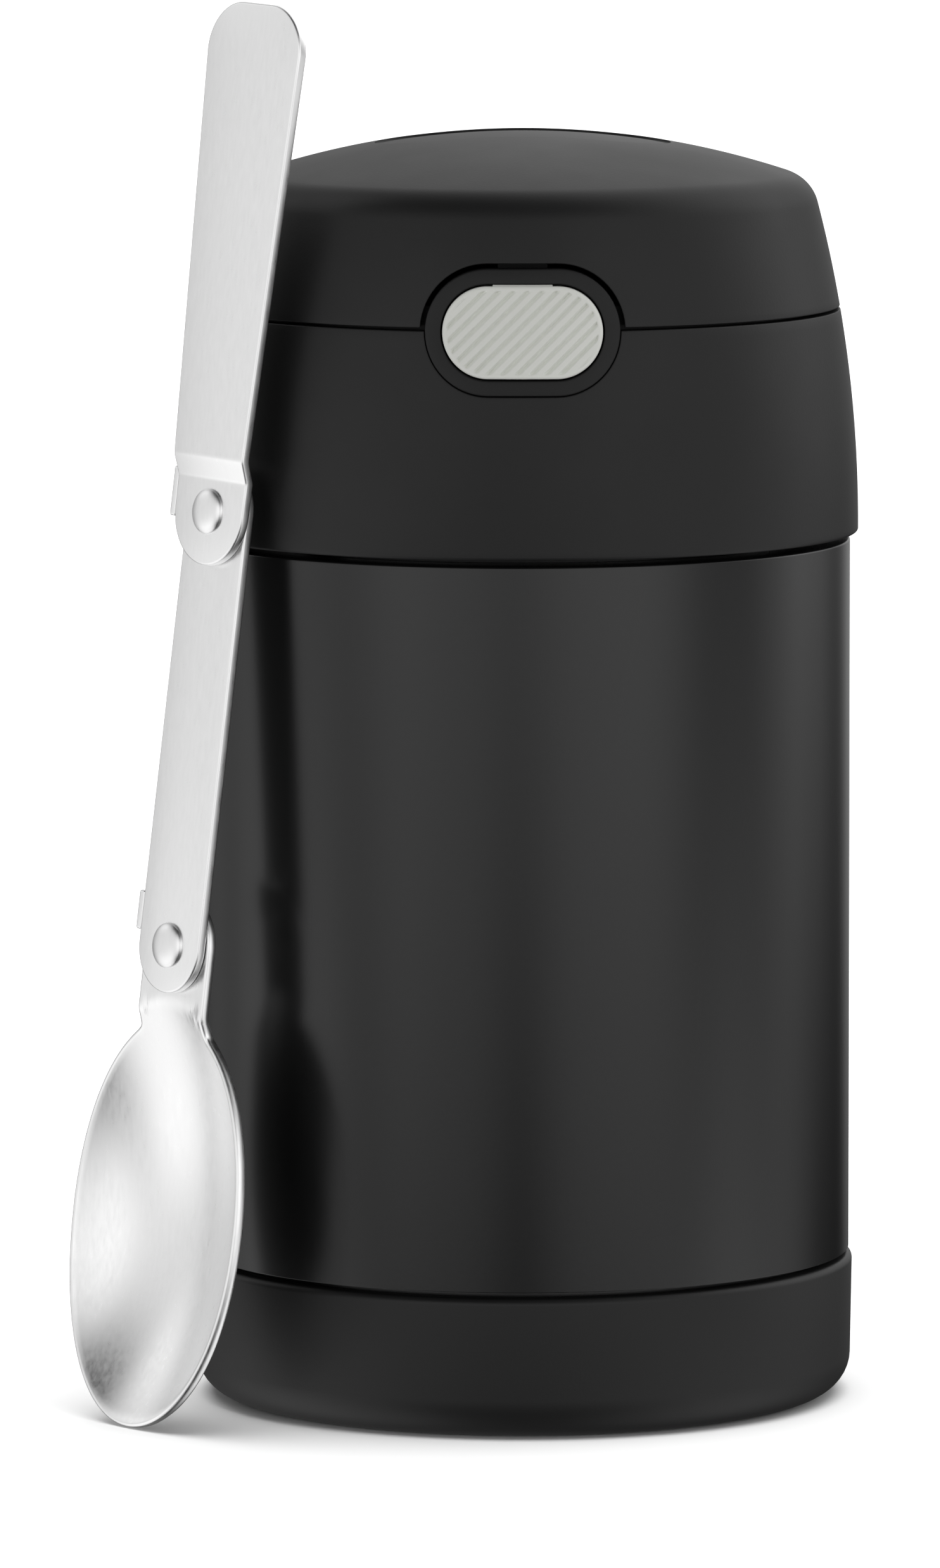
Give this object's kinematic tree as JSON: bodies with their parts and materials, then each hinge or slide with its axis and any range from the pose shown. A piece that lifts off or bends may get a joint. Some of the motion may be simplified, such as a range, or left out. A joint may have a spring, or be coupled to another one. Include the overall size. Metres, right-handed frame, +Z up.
{
  "type": "insulated food jar",
  "caption": "Vacuum-insulated steel food jar with a screw lid, a push-button flip cover over a spoon compartment, and a three-part folding spoon leaning at its side.",
  "frame": {"origin": "centre of the base's underside, on the surface that the jar stands on", "axes": "+Z up along the jar's axis, -Y out of the push button, +Y through the cover's hinge, +X to the right of the button"},
  "size_m": [0.1031, 0.0882, 0.1846],
  "materials": {
    "satin_black_paint": "satin black powder coat",
    "brushed_steel": "brushed stainless",
    "getter_metal": "sintered grey",
    "soft_black_plastic": "soft-touch matte black",
    "inner_black_plastic": "fine moulded texture",
    "dark_silicone": "matte",
    "clear_silicone": "translucent grey silicone",
    "insulation_foam": "closed-cell foam",
    "spring_steel": "drawn wire",
    "warm_grey_plastic": "matte, ribbed",
    "spoon_steel": "bead-blasted and brushed stainless"
  },
  "bodies": {
    "vessel": {"outer_shell": "satin_black_paint", "inner_vessel": "brushed_steel", "shell_bottom": "brushed_steel", "getter": "getter_metal", "base_cup": "soft_black_plastic", "foot_ring": "dark_silicone"},
    "seal": {"stopper_gasket": "clear_silicone"},
    "stopper": {"plug_disc": "soft_black_plastic", "plug_foam": "insulation_foam"},
    "lid": {"inner_cap": "soft_black_plastic", "lid_collar": "soft_black_plastic", "spoon_tray": "inner_black_plastic", "button_bezel": "inner_black_plastic", "hinge_pin": "spring_steel", "hinge_spring": "spring_steel", "button_spring": "spring_steel"},
    "cover": {"cover_shell": "soft_black_plastic", "cover_panel": "inner_black_plastic"},
    "button": {"button_cap": "warm_grey_plastic", "latch_hook": "inner_black_plastic"},
    "spoon": {"spoon_bowl": "spoon_steel", "link_rivet": "spoon_steel"},
    "link": {"spoon_link": "spoon_steel", "handle_rivet": "spoon_steel"},
    "handle": {"spoon_handle": "spoon_steel"}
  },
  "joints": [
    {"name": "lid_lift", "type": "slide", "parent": "vessel", "child": "seal", "axis": [0, 0, 1], "range_m": [0, 0.014]},
    {"name": "lid_rise", "type": "slide", "parent": "seal", "child": "stopper", "axis": [0, 0, 1], "range_m": [0, 0.008]},
    {"name": "lid_turn", "type": "hinge", "parent": "stopper", "child": "lid", "pos_m": [0, 0, 0.1346], "axis": [0, 0, 1], "range_deg": [0, 720]},
    {"name": "cover_swing", "type": "hinge", "parent": "lid", "child": "cover", "pos_m": [0, 0.041, 0.1446], "axis": [-1, 0, 0], "range_deg": [0, 105], "deforming": ["hinge_spring"]},
    {"name": "button_press", "type": "slide", "parent": "lid", "child": "button", "axis": [0, 1, 0], "range_m": [0, 0.0022], "stiffness_N_per_m": 600, "deforming": ["button_spring"]},
    {"name": "spoon_lift", "type": "slide", "parent": "vessel", "child": "spoon", "axis": [0, 0, 1], "range_m": [0, 0.12]},
    {"name": "link_fold", "type": "hinge", "parent": "spoon", "child": "link", "pos_m": [-0.04395, -0.02794, 0.06256], "axis": [0.7605, 0.6381, -0.1205], "range_deg": [0, 180]},
    {"name": "handle_fold", "type": "hinge", "parent": "link", "child": "handle", "pos_m": [-0.03861, -0.02587, 0.11885], "axis": [0.7605, 0.6381, -0.1205], "range_deg": [0, 180]}
  ],
  "couplings": [
    {"joint": "lid_rise", "follows": "lid_turn", "m_per_rad": 0.000636}
  ]
}
